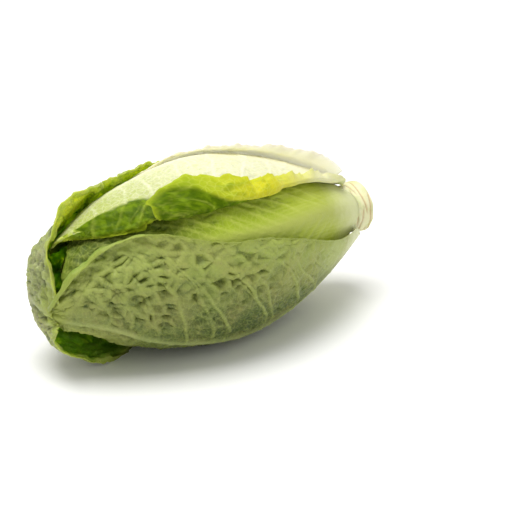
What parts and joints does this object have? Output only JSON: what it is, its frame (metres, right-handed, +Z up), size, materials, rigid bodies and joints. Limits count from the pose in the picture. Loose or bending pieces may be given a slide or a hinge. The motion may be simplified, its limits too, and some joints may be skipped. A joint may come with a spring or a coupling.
{
  "type": "romaine lettuce head",
  "caption": "Compact romaine lettuce head lying on its side: cut stem, blistered outer leaves wrapped round paler inner leaves, and a dense heart.",
  "frame": {"origin": "on the surface that the head lies on, under the middle of its bounding box", "axes": "+X along the head towards its cut stem, so the leaf tips point to -X; +Z up; -Y is the side of the front leaf"},
  "size_m": [0.2124, 0.1074, 0.1016],
  "materials": {
    "green_leaf": "mid green waxy leaf with paler raised veins, soft sheen",
    "pale_leaf": "pale yellow-green waxy leaf, soft sheen",
    "cream_leaf": "cream leaf with a faintly pink margin, soft sheen",
    "middle_leaf": "light green leaf that pales towards its root, soft sheen",
    "inner_leaf": "yellow-green crisp leaf, soft sheen",
    "heart": "pale yellow crisp leaf",
    "stem": "cream stem tissue with a slightly browned cut"
  },
  "bodies": {
    "root": {"outer_leaf_under": "green_leaf", "outer_leaf_back": "cream_leaf", "outer_leaf_front": "green_leaf", "outer_leaf_top": "pale_leaf", "middle_leaf": "middle_leaf", "inner_leaf_1": "inner_leaf", "inner_leaf_2": "inner_leaf", "inner_leaf_3": "inner_leaf", "inner_leaf_4": "inner_leaf", "inner_leaf_5": "inner_leaf", "inner_leaf_6": "inner_leaf", "stem": "stem", "heart": "heart"}
  },
  "joints": []
}
